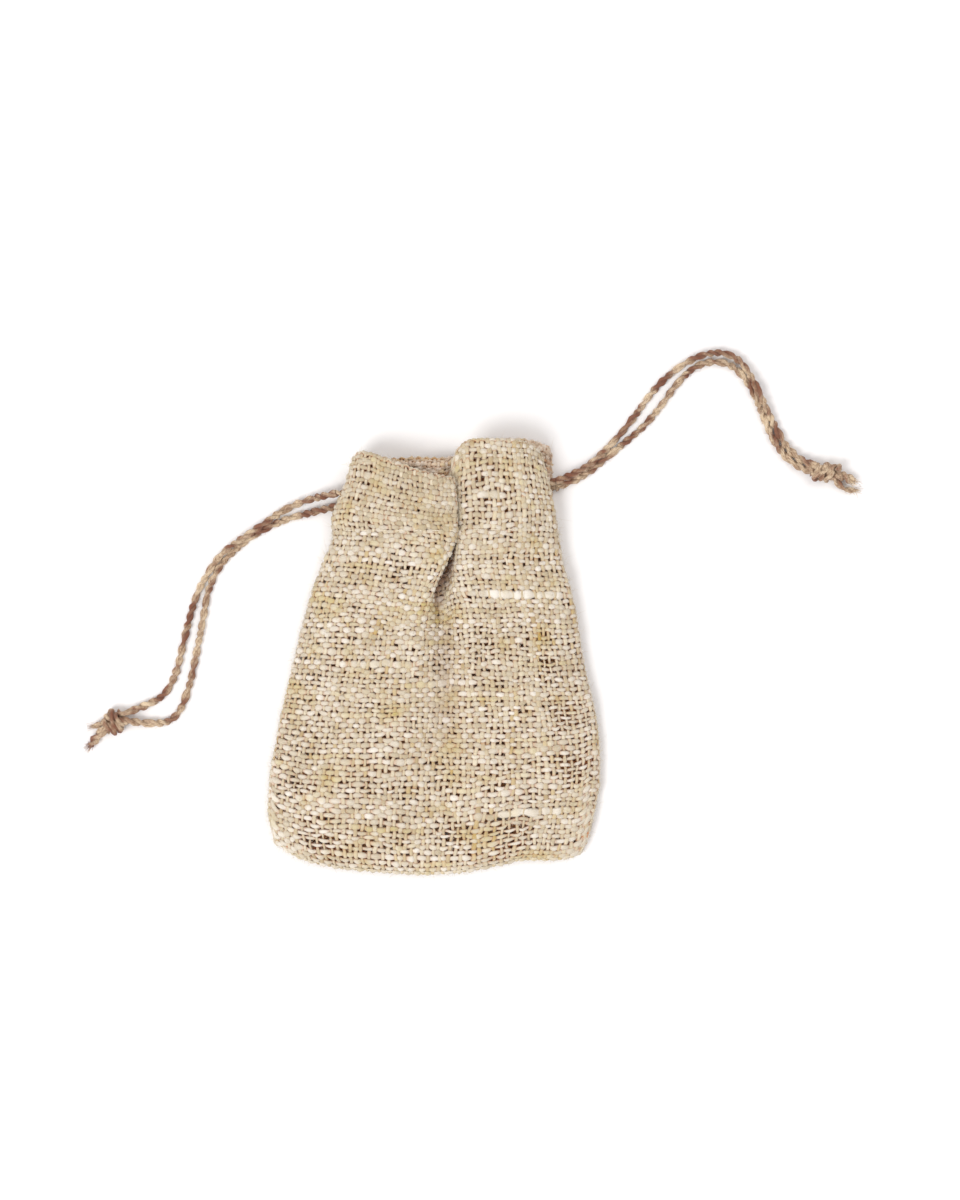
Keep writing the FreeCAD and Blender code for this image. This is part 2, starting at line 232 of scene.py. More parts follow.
def unit(vectors):
    """Vectors of length one."""
    return vectors / np.maximum(np.linalg.norm(vectors, axis=-1, keepdims=True), 1e-12)


def frame_along(points):
    """The direction of a line at each of its points, and two directions square to it."""
    ahead = unit(np.gradient(points, axis=-2))
    side = unit(np.cross(np.broadcast_to((0.0, 0.0, 1.0), ahead.shape), ahead))
    return ahead, side, np.cross(ahead, side)


def tube_faces(count, rings, sides, first=0):
    """Faces of tubes whose points run ring by ring, each ring closed, with a flat cap at each end."""
    tube = np.arange(count)[:, None, None] * rings * sides + first
    ring = np.arange(rings - 1)[None, :, None] * sides
    here = np.arange(sides)[None, None, :]
    onward = (here + 1) % sides
    a, b = tube + ring + here, tube + ring + onward
    walls = np.stack([a, b, b + sides, a + sides], axis=-1).reshape(-1, 4).tolist()
    near = (tube[:, :, 0] + np.arange(sides)[::-1]).tolist()
    far = (tube[:, :, 0] + (rings - 1) * sides + np.arange(sides)).tolist()
    return walls + near + far


def tube_points(centres, side, up, half_width, half_height, sides):
    """Rings of points round each centre: an ellipse of the given half width and height."""
    angle = np.arange(sides) * 2 * np.pi / sides
    across = half_width[..., None, None] * np.cos(angle)[:, None] * side[..., None, :]
    above = half_height[..., None, None] * np.sin(angle)[:, None] * up[..., None, :]
    return centres[..., None, :] + across + above


def waves(x, seed, count=5, longest=1.0):
    """A smooth wandering line: a sum of sines with random starts, about -1 to 1."""
    draw = np.random.default_rng(seed)
    start = draw.uniform(0, 2 * np.pi, count)
    pitch = longest / 1.9 ** np.arange(count)
    share = 0.75 ** np.arange(count)
    x = np.asarray(x)[..., None]
    return (np.sin(2 * np.pi * x / pitch + start) * share).sum(-1) / share.sum() * 1.6


def put_attributes(obj, **numbers):
    """Numbers that the mesh carries at each point, for its material to read."""
    for name, values in numbers.items():
        layer = obj.data.attributes.new(name, "FLOAT", "POINT")
        layer.data.foreach_set("value", np.ascontiguousarray(values, dtype=np.float32).ravel())


def hairs(roots, outward, ahead, seed, length, bend, radius, steps=4):
    """Stray fibres: each leaves its root outwards, leans ahead and bends at random.

    A fibre is a thin three-sided tube along a curve root + outward t + ahead t^2 + random t^2.
    """
    draw = np.random.default_rng(seed)
    count = len(roots)
    long = draw.uniform(0.35, 1.0, (count, 1, 1)) * length
    t = np.linspace(0, 1, steps + 1)[None, :, None]
    stray = draw.normal(0, 1, (count, 1, 3)) * bend
    lean = (
        ahead[:, None, :]
        * draw.choice([-1, 1], (count, 1, 1))
        * draw.uniform(0.3, 1.0, (count, 1, 1))
    )
    centres = roots[:, None, :] + long * (outward[:, None, :] * t * 0.7 + lean * t + stray * t**2)
    centres[..., 2] = np.maximum(centres[..., 2], radius * 1.2)
    _, side, up = frame_along(centres)
    thick = np.broadcast_to((1 - 0.6 * t[..., 0]) * radius, centres.shape[:2])
    return tube_points(centres, side, up, thick, thick, 3)


def ply_rings(line, along, seed, thick, phase):
    """Rings of one ply: its centre winds round the line at the given phase, out by a half.

    Each ring is a circle made uneven by waves that follow the fibres.
    """
    _, side, up = frame_along(line)
    angle = np.arange(PLY_SIDES) * 2 * np.pi / PLY_SIDES
    centres = line + (PLY_OUT * thick)[:, None] * (
        np.cos(phase)[:, None] * side + np.sin(phase)[:, None] * up
    )
    fibres = angle[None, :] + 0.55 * phase[:, None]
    uneven_ring = 1 + 0.05 * np.sin(4 * fibres) + 0.05 * np.sin(7 * fibres + 1.3)
    uneven_ring = uneven_ring + 0.06 * waves(along[:, None] / MM * 0.3 + fibres * 0.9, seed, 4, 6.0)
    reach = (PLY_R * thick)[:, None] * uneven_ring
    ring = (
        np.cos(angle)[None, :, None] * side[:, None, :]
        + np.sin(angle)[None, :, None] * up[:, None, :]
    )
    return centres[:, None, :] + reach[..., None] * ring, fibres


def twisted_cord(name, lines, seed, swell=None, brush=0):
    """Cord of two plies that wind round each other along each line, with stray fibres.

    The plies turn once in a twist's length. A brush is a number of fibres beyond the last end.
    """
    places, faces, marks = [], [], []
    total = 0
    for index, points in enumerate(lines):
        line, along = evenly(points, RING_GAP)
        _, side, up = frame_along(line)
        own = seed + 17 * index
        turn = 2 * np.pi * along / TWIST + 0.9 * waves(along, own, 3, 30 * MM)
        thick = 1 + 0.09 * waves(along, own + 1, 5, 14 * MM)
        if swell is not None:
            thick = thick * swell(along)
        for ply in (0, 1):
            body, fibres = ply_rings(line, along, own + 7 + ply, thick, turn + ply * np.pi)
            places.append(body.reshape(-1, 3))
            faces += tube_faces(1, len(line), PLY_SIDES, total)
            total += body.size // 3
            mark = np.broadcast_to(along[:, None] / MM, fibres.shape)
            marks.append(
                np.stack([mark, np.cos(fibres), np.sin(fibres), 0 * fibres + ply], axis=-1).reshape(-1, 4)
            )
        draw = np.random.default_rng(own + 20)
        number = int(along[-1] / MM * HAIRS_PER_MM)
        pick = draw.integers(2, len(line) - 2, number)
        spin = draw.uniform(0, 2 * np.pi, number)
        out = np.cos(spin)[:, None] * side[pick] + np.sin(spin)[:, None] * up[pick]
        ahead = unit(np.gradient(line, axis=0)[pick])
        loose = hairs(line[pick] + out * CORD_D * 0.45, out, ahead, own + 21, HAIR_LONG, 0.22, HAIR_R)
        tufts = [(loose, along[pick] / MM)]
        if brush:
            spread = draw.normal(0, 0.42, (brush, 2)) * PLY_R * thick[-1] * 2.2
            roots = line[-4] + spread[:, :1] * side[-1] + spread[:, 1:] * up[-1]
            onward = unit(unit(line[-1] - line[-4]) + 0.28 * draw.normal(0, 1, (brush, 3)))
            tip = hairs(roots, onward, onward * 0, own + 22, BRUSH_LONG, 0.16, 2.2 * HAIR_R, steps=5)
            tufts.append((tip, np.full(brush, along[-1] / MM)))
        for tuft, where in tufts:
            places.append(tuft.reshape(-1, 3))
            faces += tube_faces(len(tuft), tuft.shape[1], 3, total)
            each = tuft[0].size // 3
            total += each * len(tuft)
            shade = draw.uniform(-1, 1, (3, len(tuft)))
            marks.append(
                np.repeat(np.stack([where, *shade[:2], 0.25 + 0.25 * shade[2]], axis=-1), each, axis=0)
            )
    places, marks = np.concatenate(places), np.concatenate(marks)
    places[:, 2] = np.maximum(places[:, 2], TABLE_CLEAR)
    obj = mesh_object(name, places, faces)
    put_attributes(obj, along=marks[:, 0], round_x=marks[:, 1], round_y=marks[:, 2], ply=marks[:, 3])
    return obj, line


def jute_finish(name):
    """Jute: fine streaks of pale and tan fibre along each ply, and brown stains mostly on one."""
    finish = Finish(name, roughness=0.85, sheen=0.15)
    place = finish.add("ShaderNodeTexCoord", {}, {}).outputs["Object"]
    along, ply = finish.attribute("along"), finish.attribute("ply")
    round_x, round_y = finish.attribute("round_x"), finish.attribute("round_y")
    fibre = finish.add(
        "ShaderNodeCombineXYZ",
        {},
        {0: along * 0.30, 1: round_x * 1.3, 2: round_y * 1.3 + ply * 9.0},
    )
    streak = finish.noise(fibre.outputs[0], 2.6, 5.0, 0.72)
    cloud = finish.noise(place, 140.0, 2.0, 0.5)
    browning = finish.noise(place, 150.0, 2.0, 0.5) * 0.8 + ply * 0.06 + streak * 0.9
    colour = finish.mix(finish.between(streak * 0.9 + cloud * 0.25, 0.47, 0.62), CORD_TAN, CORD_PALE)
    colour = finish.mix(finish.between(browning, 0.87, 0.95) * 0.9, colour, CORD_BROWN)
    colour = finish.mix(finish.between(streak, 0.62, 0.75) * 0.35, colour, rgb("F0E4CC"))
    finish.feed(finish.shader.inputs["Base Color"], colour)
    bump = finish.add("ShaderNodeBump", {}, {"Height": streak, "Strength": 0.9, "Distance": 0.0006})
    finish.feed(finish.shader.inputs["Normal"], bump.outputs["Normal"])
    return finish.material


jute = jute_finish("jute cord")
strand_lines = {}
strands = {}
for seed, (node, route) in enumerate(ROUTES.items()):
    line = spline_points(node, route)
    strand, strand_lines[node] = twisted_cord(
        node + "_jute",
        [line],
        100 + 40 * seed,
        swell=lambda along: (
            1 + 0.12 * np.exp(-along / (14 * MM)) + 0.26 * np.exp((along - along[-1]) / (12 * MM))
        ),
    )
    strand.data.materials.append(jute)
    body = node.split("_")[0] + "_drawstring"
    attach(strand, body)
    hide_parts(node)
    strands[node] = strand

# ---------------------------------------------------------------------------------------------
# The knots and tails. The two ends of each drawstring are tied together and drawn tight: here a
# wrap of the same cord round both strands stands for the knot. The cut ends beyond it fray.

KNOTS = {
    "left": {"centre": (-107.3, -21.2, 3.0), "towards": (-0.80, -0.60),
             "reach": 3.0, "turns": 2.4, "pitch": 1.9, "slant": 0.0},
    "right": {"centre": (130.2, 61.9, 3.0), "towards": (0.99, -0.12),
              "reach": 2.1, "turns": 3.2, "pitch": 2.1, "slant": 1.2},
}
KNOT_HEIGHT = 1.7
TAILS = {
    "left_long_tail": [(-109.0, -22.4, 2.6), (-112.2, -25.0, 2.0), (-115.2, -29.2, 1.5)],
    "left_short_tail": [(-109.6, -20.6, 2.9), (-112.4, -22.6, 2.0), (-114.6, -22.8, 1.6)],
    "right_long_tail": [(133.0, 61.4, 2.7), (136.4, 60.8, 2.0), (139.6, 59.2, 1.6)],
    "right_short_tail": [(132.6, 60.6, 2.4), (134.8, 57.8, 1.5), (137.2, 56.0, 1.0), (140.4, 56.0, 0.9)],
}


def knot_lines(centre, towards, reach, turns, pitch, slant):
    """The lines that stand for a knot drawn tight: turns of cord wrapped round the two strands.

    The wrap is an ellipse, reach wide and less high, carried along the axis and slanted across
    it; the strands run straight through.
    """
    t = np.linspace(0.0, 2 * np.pi * turns, int(60 * turns))
    ahead = unit(np.array([*towards, 0.0]))
    side = np.array([-ahead[1], ahead[0], 0.0])
    up = np.array((0.0, 0.0, 1.0))
    along = pitch * (t / (2 * np.pi) - turns / 2) + slant * np.cos(t) + 0.25 * waves(t, 5, 3, 9.0)
    wide = reach * (1 - 0.12 * np.cos(0.5 * t)) + 0.22 * waves(t, 6, 3, 8.0)
    wrap = (
        along[:, None] * ahead
        + (wide * np.cos(t))[:, None] * side
        + (KNOT_HEIGHT * np.sin(t))[:, None] * up
    )
    lines = [(np.array(centre) + wrap) * MM]
    through = np.linspace(-1, 1, 12) * (pitch * turns / 2 + 1.6)
    for apart in (-1.0, 1.0):
        off = apart * (0.42 * reach * side) - 0.2 * up
        lines.append((np.array(centre) + through[:, None] * ahead + off) * MM)
    return lines


for seed, (name, knot) in enumerate(KNOTS.items()):
    tied, _ = twisted_cord(
        name + "_knot_jute",
        knot_lines(**knot),
        300 + 60 * seed,
        swell=lambda along: 1.1 + 0 * along,
    )
    tied.data.materials.append(jute)
    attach(tied, name + "_drawstring")
    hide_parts(name + "_knot")
    strands[name + "_knot"] = tied

for seed, (node, route) in enumerate(TAILS.items()):
    end, _ = twisted_cord(
        node + "_jute",
        [spline_points(node, route)],
        400 + 30 * seed,
        swell=lambda along, full=1.0 if "long" in node else 0.62: full
        + 0.45 * full * np.sin(np.pi * np.minimum(1, 0.25 + 0.75 * along / along[-1])),
        brush=46 if "long" in node else 22,
    )
    end.data.materials.append(jute)
    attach(end, node.split("_")[0] + "_drawstring")
    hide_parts(node)
    strands[node] = end

for node, length in (
    ("left_upper_strand", 0.1126),
    ("left_lower_strand", 0.1141),
    ("right_upper_strand", 0.1267),
    ("right_lower_strand", 0.1255),
):
    side = node.split("_")[0]
    on_it = []
    if "upper" in node:
        on_it = [strands[side + part] for part in ("_knot", "_long_tail", "_short_tail")]

# ---------------------------------------------------------------------------------------------
# The front cloth. One piece of open jute burlap, 54 warps wide, sewn to the back along its sides
# and bottom, turned, and folded in at the mouth for the cord to run in. Its left half is drawn
# over a deep fold at the mouth.

WARPS = 54
WEFTS = 96
WEFT_HALF = (0.68 * MM, 0.37 * MM)
WARP_HALF = (0.62 * MM, 0.34 * MM)
WEFT_RISE = 0.36 * MM
WARP_RISE = 0.26 * MM
FOLD_R = 0.9
STITCH_Y = 43.4
FRONT_HEM_DEPTH = 26.0
FIBRE_R = 0.042 * MM
FIBRE_LONG = 3.0 * MM
FRONT_ROWS = {
    -72.4: [(-54.0, 1.8), (-52.0, 1.9), (-44.0, 2.0), (-31.0, 2.1), (-15.0, 2.1), (-7.0, 2.1), (-1.5, 2.1),
            (1.0, 2.1), (4.0, 2.1), (9.0, 2.1), (16.0, 2.1), (30.0, 2.1), (42.0, 2.0), (49.5, 1.9), (51.0, 1.8)],
    -69.6: [(-54.6, 1.9), (-53.4, 3.0), (-45.0, 4.4), (-31.5, 4.8), (-15.0, 4.9), (-7.0, 4.9), (-1.5, 4.8),
            (1.0, 4.8), (4.0, 4.8), (9.0, 4.9), (16.0, 4.9), (30.0, 4.7), (42.5, 4.3), (50.4, 3.0), (51.2, 1.9)],
    -63.0: [(-55.0, 2.0), (-54.2, 3.8), (-46.0, 6.0), (-32.0, 6.9), (-15.0, 7.1), (-7.0, 7.1), (-1.5, 6.9),
            (1.0, 6.8), (4.0, 6.9), (9.0, 7.1), (16.0, 7.1), (30.0, 6.8), (43.0, 5.9), (51.2, 3.8), (52.0, 2.0)],
    -48.0: [(-54.8, 2.0), (-54.0, 4.2), (-45.6, 7.0), (-32.0, 8.4), (-15.0, 9.0), (-7.0, 9.0), (-1.5, 8.6),
            (1.2, 8.4), (4.0, 8.5), (9.0, 9.0), (16.0, 9.1), (30.0, 8.6), (44.0, 7.0), (53.2, 4.2), (54.0, 2.0)],
    -25.0: [(-51.8, 2.0), (-51.0, 4.4), (-43.6, 7.4), (-31.0, 9.4), (-15.0, 10.4), (-7.0, 10.4), (-1.8, 9.5),
            (2.6, 8.4), (5.6, 8.8), (9.0, 9.9), (16.0, 10.3), (29.0, 9.7), (44.0, 7.4), (52.7, 4.4), (53.5, 2.0)],
    0.0: [(-46.4, 2.0), (-45.6, 4.6), (-39.4, 7.9), (-28.0, 10.0), (-14.0, 11.2), (-6.4, 11.5), (-1.8, 10.3),
          (2.8, 8.0), (5.4, 8.2), (8.4, 9.9), (15.0, 10.9), (26.0, 10.5), (39.0, 8.3), (47.8, 4.6), (48.6, 2.0)],
    12.0: [(-43.5, 2.0), (-42.8, 4.8), (-37.0, 8.2), (-26.6, 10.4), (-14.0, 11.9), (-7.2, 12.5), (-3.0, 11.2),
           (1.6, 7.6), (5.0, 7.2), (7.9, 9.9), (13.6, 11.0), (23.6, 10.8), (36.6, 8.8), (46.0, 5.0), (46.8, 2.0)],
    22.0: [(-40.6, 2.0), (-39.9, 5.0), (-34.6, 8.6), (-25.0, 11.2), (-12.8, 13.2), (-5.6, 14.0), (-1.0, 12.2),
           (-0.6, 7.2), (3.4, 5.2), (7.2, 9.8), (12.4, 11.9), (22.6, 12.1), (34.6, 9.8), (44.0, 5.4), (44.8, 2.0)],
    32.0: [(-37.0, 2.0), (-36.4, 5.2), (-31.6, 9.2), (-22.0, 12.2), (-10.4, 14.4), (-2.4, 15.2), (3.4, 13.2),
           (2.0, 7.8), (4.4, 4.8), (7.5, 11.0), (11.6, 13.0), (21.6, 13.4), (32.4, 10.8), (41.2, 6.0), (41.9, 2.0)],
    40.0: [(-33.7, 2.0), (-33.2, 5.4), (-29.2, 9.4), (-20.0, 12.6), (-8.4, 14.9), (0.6, 15.8), (6.8, 14.0),
           (4.6, 9.6), (5.4, 8.0), (7.9, 12.2), (11.6, 14.1), (21.4, 14.6), (31.8, 11.8), (39.9, 6.6), (40.6, 2.0)],
    47.0: [(-33.8, 2.2), (-33.4, 6.2), (-29.2, 10.4), (-19.2, 13.4), (-7.2, 15.4), (2.0, 16.2), (7.2, 14.6),
           (4.8, 12.6), (5.2, 11.4), (8.4, 12.9), (12.4, 14.8), (21.4, 15.4), (31.4, 12.8), (38.9, 7.4), (39.6, 2.2)],
    57.0: [(-29.8, 3.6), (-29.6, 7.0), (-26.2, 11.0), (-17.0, 14.0), (-6.4, 15.8), (1.8, 16.6), (6.9, 14.9),
           (4.4, 12.8), (4.9, 11.5), (8.2, 13.2), (12.0, 15.0), (20.6, 15.8), (29.8, 13.4), (36.9, 8.2), (37.6, 3.6)],
    66.0: [(-27.3, 3.8), (-27.0, 7.4), (-24.0, 11.2), (-16.0, 14.0), (-6.0, 15.6), (1.6, 16.2), (6.2, 14.7),
           (4.2, 12.8), (4.8, 11.6), (7.6, 13.3), (11.4, 15.0), (19.6, 15.8), (28.4, 13.2), (34.6, 8.2), (35.3, 3.8)],
}
# The line of the bottom edge, and of the mouth edge by shares of the way across, in mm
BOTTOM_EDGE = [(-54.5, -56.0), (-53.6, -60.4), (-51.0, -63.2), (-44.8, -66.9), (-35.3, -69.6), (-21.9, -71.2),
               (-1.8, -72.2), (11.5, -71.2), (21.6, -69.2), (28.3, -67.6), (41.7, -67.2), (46.2, -66.3),
               (49.3, -63.8), (51.5, -58.0)]
MOUTH_EDGE = [(0.0, 64.0), (0.04, 66.2), (0.09, 67.6), (0.15, 66.6), (0.24, 64.0), (0.34, 61.2), (0.41, 59.6),
              (0.46, 58.9), (0.50, 58.8), (0.535, 59.2), (0.55, 61.4), (0.566, 66.0), (0.585, 68.6), (0.61, 70.2),
              (0.66, 71.2), (0.74, 71.5), (0.82, 71.2), (0.88, 70.4), (0.93, 69.0), (0.97, 66.6), (1.0, 63.0)]
# Thick places in single wefts: from x, to x, at y, in mm, and how much thicker
FRONT_SLUBS = [(14, 43, 21.5, 1.35), (15.5, 22.5, 53, 1.2), (-33, -7, -2, 0.7), (13, 52, -51, 0.7),
               (-6, 14, -8.5, 0.5), (-34, -14, 60.5, 0.3), (-30, 0, -34, 0.35), (20, 46, -30, 0.35),
               (-40, -22, 34, 0.35), (4, 30, -45, 0.4), (10, 34, 6, 0.35), (-48, -20, -46, 0.3)]
# Places where the yarns are thin and the weave stands open: x, y, reach, in mm
FRONT_THIN = [(44, -19, 7), (47, -36, 6), (26, -58, 7), (16, 4, 4), (-38, -60, 6), (36, -3, 5), (-46, -42, 5),
              (6, -60, 5)]


def curve_through(knots, values, wanted):
    """A smooth curve through the values at the knots (Catmull-Rom), read at the wanted places.

    Between two knots it is the cubic that has their values and the slopes of their neighbours.
    """
    knots, values = np.asarray(knots, float), np.asarray(values, float)
    slope = np.gradient(values, knots, axis=0)
    i = np.clip(np.searchsorted(knots, wanted) - 1, 0, len(knots) - 2)
    span = knots[i + 1] - knots[i]
    shape = np.shape(wanted) + (1,) * (values.ndim - 1)
    t = np.clip((wanted - knots[i]) / span, 0, 1).reshape(shape)
    span = span.reshape(shape)
    rise = values[i] * (2 * t**3 - 3 * t**2 + 1) + values[i + 1] * (3 * t**2 - 2 * t**3)
    return rise + slope[i] * span * (t**3 - 2 * t**2 + t) + slope[i + 1] * span * (t**3 - t**2)


def smoothly(value, low, high):
    """A smooth climb from 0 at low to 1 at high: 3t^2 - 2t^3."""
    t = np.clip((value - low) / (high - low), 0, 1)
    return t * t * (3 - 2 * t)


def hump(value, middle, reach):
    """A smooth hump, 1 at the middle: a Gaussian."""
    return np.exp(-(((value - middle) / reach) ** 2))


def ripple(x, y, seed, count=6, longest=60.0):
    """Slow waves over a plane: a sum of sines that each run their own way, about -1 to 1."""
    draw = np.random.default_rng(seed)
    way = draw.uniform(0, np.pi, count)
    start = draw.uniform(0, 2 * np.pi, count)
    pitch = longest / 1.6 ** np.arange(count)
    across = x[..., None] * np.cos(way) + y[..., None] * np.sin(way)
    share = 0.7 ** np.arange(count)
    return (np.sin(2 * np.pi * across / pitch + start) * share).sum(-1) / share.sum() * 1.8


def walked_evenly(curves, count):
    """Curves read again at even steps of their own length; the curve runs along axis 1."""
    steps = np.linalg.norm(np.diff(curves, axis=1), axis=2)
    walked = np.concatenate([np.zeros((len(steps), 1)), np.cumsum(steps, axis=1)], axis=1)
    walked /= walked[:, -1:]
    share = np.linspace(0, 1, count)
    columns = range(curves.shape[2])
    return np.stack(
        [[np.interp(share, w, c[:, k]) for w, c in zip(walked, curves)] for k in columns], axis=-1
    )


def loft(rows, bottom, count=280, columns=361):
    """A cloth from rows of (x, z) points at set heights, in mm, as a fine grid of places.

    The rows are joined by smooth curves both ways, and each is walked at even steps. Near the
    bottom the heights bend to the line of the bottom edge.
    """
    heights = np.array(list(rows))
    nominal = np.linspace(heights[0], heights[-1], count)
    forms = curve_through(heights, np.array(list(rows.values())), nominal)
    points = np.arange(forms.shape[1])
    curves = curve_through(points, forms.transpose(1, 0, 2), np.linspace(0, points[-1], 601))
    flat = walked_evenly(curves.transpose(1, 0, 2), columns)
    x, z = flat[..., 0], flat[..., 1]
    low = heights[0]
    y = nominal[:, None] + (curve_through(*zip(*bottom), x) - low) * np.exp(
        (low - nominal[:, None]) / 24.0
    )
    return np.stack([x, y, z], axis=-1)


def mouth_line(grid, mouth, start):
    """Move the rows above `start` so that the last follows the mouth's line across the cloth."""
    share = np.linspace(0, 1, grid.shape[1])
    height = curve_through(*zip(*mouth), share) - grid[-1, :, 1]
    grid[..., 1] += height * smoothly(grid[..., 1], start, grid[-1, :, 1].max()) ** 1.4
    return grid


def face_directions(grid):
    """The outward direction of the cloth at each grid place: across x along."""
    return unit(np.cross(np.gradient(grid, axis=1), np.gradient(grid, axis=0)))


def with_hem(grid, depth, hang, outward=1.0):
    """The cloth, then a half-round fold at its mouth edge, then the hem that lies inside it.

    The fold is edge + r sin(a) ahead - r (1 - cos(a)) outward for a from 0 to 180 degrees. The
    hem goes back over the last `depth` mm of rows, two radii and a further `hang` inside them.
    """
    out = face_directions(grid) * outward
    turn = np.linspace(0, np.pi, 9)[1:, None, None]
    ahead = unit(grid[-1] - grid[-3])
    fold = grid[-1] + FOLD_R * (np.sin(turn) * ahead - (1 - np.cos(turn)) * out[-1])
    back_to = np.argmin(np.abs(grid[:, grid.shape[1] // 2, 1] - (grid[-1, :, 1].mean() - depth)))
    rows = np.arange(len(grid) - 2, back_to, -1)
    share = np.linspace(0, 1, len(rows))[:, None]
    inner = grid[rows] - 2 * FOLD_R * out[rows] * (1 - 0.45 * smoothly(share, 0.75, 1.0))[..., None]
    inner[..., 2] -= outward * hang(inner[..., 0], share)
    return np.concatenate([grid, fold, inner])


class Cloth:
    """A cloth's places and outward directions, read at shares of the way across and along."""

    def __init__(self, grid, outward=1.0):
        middle = grid[:, :: grid.shape[1] // 12]
        steps = np.linalg.norm(np.diff(middle, axis=0), axis=2).mean(axis=1)
        walked = np.concatenate([[0], np.cumsum(steps)])
        rows = np.interp(np.linspace(0, walked[-1], len(grid)), walked, np.arange(len(grid)))
        i = np.minimum(rows.astype(int), len(grid) - 2)
        part = (rows - i)[:, None, None]
        self.length = walked[-1]
        self.grid = (grid[i] * (1 - part) + grid[i + 1] * part) * MM
        self.out = face_directions(self.grid) * outward

    def read(self, table, across, along):
        """The table's values between its grid places, by straight steps both ways."""
        rows, columns = table.shape[0] - 1, table.shape[1] - 1
        r, c = np.clip(along, 0, 1) * rows, np.clip(across, 0, 1) * columns
        i, j = np.minimum(r.astype(int), rows - 1), np.minimum(c.astype(int), columns - 1)
        r, c = (r - i)[..., None], (c - j)[..., None]
        near = table[i, j] * (1 - c) + table[i, j + 1] * c
        far = table[i + 1, j] * (1 - c) + table[i + 1, j + 1] * c
        return near * (1 - r) + far * r

    def at(self, across, along):
        """Places and outward directions at these shares."""
        return self.read(self.grid, across, along), unit(self.read(self.out, across, along))


def uneven(count, seed, amount):
    """Places of yarns over 0 to 1, not quite evenly spaced."""
    gaps = np.clip(1 + amount * np.random.default_rng(seed).normal(0, 1, count), 0.65, 1.5)
    edges = np.concatenate([[0], np.cumsum(gaps)])
    return (edges[:-1] + gaps / 2) / edges[-1]


def drift(draw, count, length, reach):
    """For each yarn, values that change slowly along it: white noise blurred over `reach` crossings."""
    i = np.arange(length)
    blur = np.exp(-0.5 * ((i[:, None] - i) / reach) ** 2)
    return draw.normal(0, 1, (count, length)) @ (blur / np.sqrt((blur**2).sum(axis=0)))


# Shares of the way along a cloth: where its outer face ends, and where its mouth edge folds
OUTER_TO = 0.84
FOLD_AT = 0.843


class Weave:
    """Where each warp crosses each weft of a cloth, and how thick both are there.

    The yarns are evenly set, each a little off its place, and all swayed together by slow waves.
    The wefts of the left half may slant down towards the middle, by a share of the length.
    """

    def __init__(self, cloth, seed, slubs=(), thin=(), warps=WARPS, wefts=WEFTS, slant=0.0):
        self.cloth = cloth
        u, v = np.meshgrid(
            np.concatenate([[0], uneven(warps, seed, 0.10), [1]]),
            np.concatenate([[0], uneven(wefts, seed + 1, 0.085), [1]]),
            indexing="ij",
        )
        long = cloth.length
        fade = np.minimum(1, 10 * u * (1 - u))
        across = u + fade * 0.0070 * ripple(u * 112, v * long, seed + 2, 7, 45.0)
        along = v + np.minimum(1, 20 * v) * 0.0030 * ripple(u * 112, v * long, seed + 3, 7, 50.0)
        along = along - slant * smoothly(u, 0.04, 0.48) * (1 - smoothly(u, 0.49, 0.58)) * (
            smoothly(v, 0.40, 0.66) * (1 - smoothly(v, 0.68, 0.83))
        )
        draw = np.random.default_rng(seed + 4)
        across = across + fade * 0.0021 * draw.normal(0, 1, u.shape)
        along = along + np.minimum(1, 20 * v) * 0.0014 * draw.normal(0, 1, u.shape)
        place, _ = cloth.at(across, along)
        x, y = place[..., 0] / MM, place[..., 1] / MM
        warps, wefts = u.shape
        self.weft_fat = (draw.normal(1, 0.055, (1, wefts)) + 0.09 * drift(draw, wefts, warps, 2.5).T
                         + 0.14 * draw.normal(0, 1, u.shape))
        self.warp_fat = (draw.normal(1, 0.10, (warps, 1)) + 0.08 * drift(draw, warps, wefts, 3.0)
                         + 0.12 * draw.normal(0, 1, u.shape))
        outer = v < OUTER_TO
        lobe = smoothly(y, 40, 46) * (1 - smoothly(x, 2, 10)) * outer
        # pale: a painted highlight along the left lobe's mouth fold, and the left lobe's hem a little darker.
        self.pale = 0.60 * hump(v, FOLD_AT, 0.006) * (1 - smoothly(x, 6, 12)) - 0.27 * lobe
        self.slub = 0 * u
        for x0, x1, level, more in slubs:
            within = smoothly(x, x0 - 2, x0 + 2) * (1 - smoothly(x, x1 - 2, x1 + 2)) * outer
            off = np.where(within > 0.4, np.abs(y - level), np.nan)
            row = int(
                np.nanargmin(np.nanmean(off, axis=0) + np.where(np.isnan(off).all(axis=0), 99, 0))
            )
            here = within[:, row] * (1 + 0.30 * drift(draw, 1, warps, 1.1)[0])
            self.weft_fat[:, row] += more * here
            self.warp_fat[:, row] *= 1 - 0.36 * np.clip(more * here, 0, 1)
            self.slub[:, row] += np.clip(more * here, 0, 1)
            self.pale[:, row] += 0.20 * more * here
            away = np.arange(wefts) - row
            push = 0.34 * more * np.sign(away) * np.exp(-np.abs(away) / 3.5) / wefts
            along = along + push * within[:, row][:, None]
        for x0, y0, reach in thin:
            less = 1 - 0.34 * hump(np.hypot(x - x0, y - y0), 0, reach) * outer
            self.weft_fat, self.warp_fat = self.weft_fat * less, self.warp_fat * less
        left = 1 - smoothly(x, -4, 14)
        dense = (
            1.035 + 0.025 * left + 0.12 * hump(y, 33.5, 6)
            + 0.03 * smoothly(x, 5, 12) * smoothly(y, 38, 50)
        )
        self.weft_fat = np.clip(self.weft_fat * dense * (1 + 0.05 * left), 0.5, 2.4)
        self.warp_fat = np.clip(self.warp_fat * dense * (1 - 0.10 * left), 0.5, 1.5)
        self.weft_faced = left
        self.across, self.along = across, along


